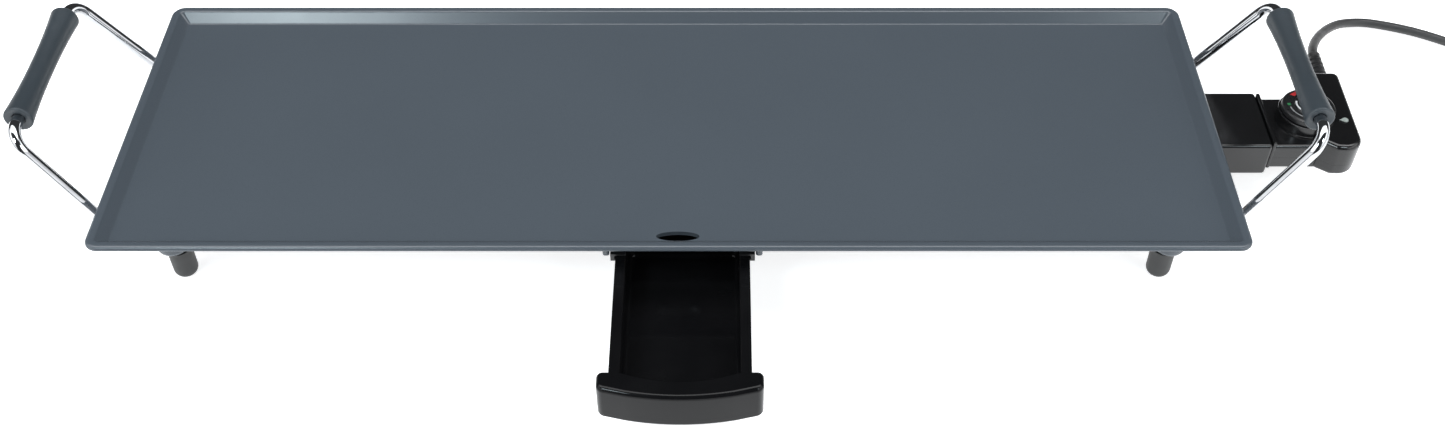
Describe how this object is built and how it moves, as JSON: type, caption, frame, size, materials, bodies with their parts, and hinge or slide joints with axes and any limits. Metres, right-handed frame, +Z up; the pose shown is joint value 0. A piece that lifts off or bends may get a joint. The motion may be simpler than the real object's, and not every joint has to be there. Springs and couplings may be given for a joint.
{
  "type": "electric griddle",
  "caption": "Electric table griddle: long shallow coated plate on four legs with two wire handles, a pull-out drip tray and a plug-in control with a mains cord.",
  "frame": {"origin": "on the table, under the middle of the griddle's extent without its free cord, from the left grip to the control and from the pulled-out tray's face to the plate's rear edge", "axes": "+X along the plate towards the plug-in control, +Y from the drip tray towards the back, +Z up"},
  "size_m": [1.1062, 0.3894, 0.1179],
  "materials": {
    "slate_coating": "satin non-stick coating, slate blue-grey",
    "chrome_wire": "polished plating",
    "grip_plastic": "matt slate grey",
    "foot_plastic": "matt",
    "steel": "plain bright",
    "element_sheath": "heat-dulled",
    "rail_paint": "satin black",
    "brass": "plain",
    "ceramic": "matt",
    "tray_gloss": "high gloss black",
    "control_plastic": "satin black",
    "lens": "clear, milky",
    "cord_rubber": "matt"
  },
  "bodies": {
    "griddle": {"griddle_plate": "slate_coating", "handle_wire_left": "chrome_wire", "handle_grip_left": "grip_plastic", "handle_wire_right": "chrome_wire", "handle_grip_right": "grip_plastic", "foot_front_left": "foot_plastic", "foot_front_right": "foot_plastic", "foot_rear_left": "foot_plastic", "foot_rear_right": "foot_plastic", "handle_screw_front_left": "steel", "handle_screw_front_right": "steel", "handle_screw_rear_left": "steel", "handle_screw_rear_right": "steel", "tray_rail_left": "rail_paint", "tray_rail_right": "rail_paint", "rail_screw_front_left": "steel", "rail_screw_front_right": "steel", "rail_screw_rear_left": "steel", "rail_screw_rear_right": "steel", "heating_element": "element_sheath", "element_clip_left": "steel", "clip_screw_left": "steel", "element_clip_middle": "steel", "clip_screw_middle": "steel", "element_clip_right": "steel", "clip_screw_right": "steel", "terminal_pin_front": "steel", "terminal_insulator_front": "ceramic", "terminal_pin_rear": "steel", "terminal_insulator_rear": "ceramic", "probe_sleeve": "brass", "connector_shroud": "control_plastic", "shroud_screw_front": "steel", "shroud_screw_rear": "steel", "earth_blade": "brass"},
    "tray": {"drip_tray": "tray_gloss"},
    "control": {"control_case_top": "control_plastic", "control_case_bottom": "control_plastic", "case_screw_rear": "steel", "case_screw_front": "steel", "probe_rod": "steel", "contact_socket_front": "brass", "contact_socket_rear": "brass", "thermostat_switch": "ceramic", "pilot_lens": "lens", "pilot_lamp": "lens", "strain_relief": "cord_rubber", "power_cord": "cord_rubber", "cord_coil": "cord_rubber", "cord_tail": "cord_rubber", "cord_tie": "control_plastic", "plug_body": "control_plastic", "plug_pin_left": "steel", "plug_pin_right": "steel"},
    "dial": {"control_dial": "control_plastic", "dial_spindle": "steel"}
  },
  "joints": [
    {"name": "tray_slide", "type": "slide", "parent": "griddle", "child": "tray", "axis": [0, 1, 0], "range_m": [-0.02, 0.075]},
    {"name": "control_pull", "type": "slide", "parent": "griddle", "child": "control", "axis": [1, 0, 0], "range_m": [0, 0.125]},
    {"name": "dial_turn", "type": "hinge", "parent": "control", "child": "dial", "pos_m": [0.39515, 0.07175, 0.052], "axis": [0, 0, 1], "range_deg": [-250, 0]}
  ]
}
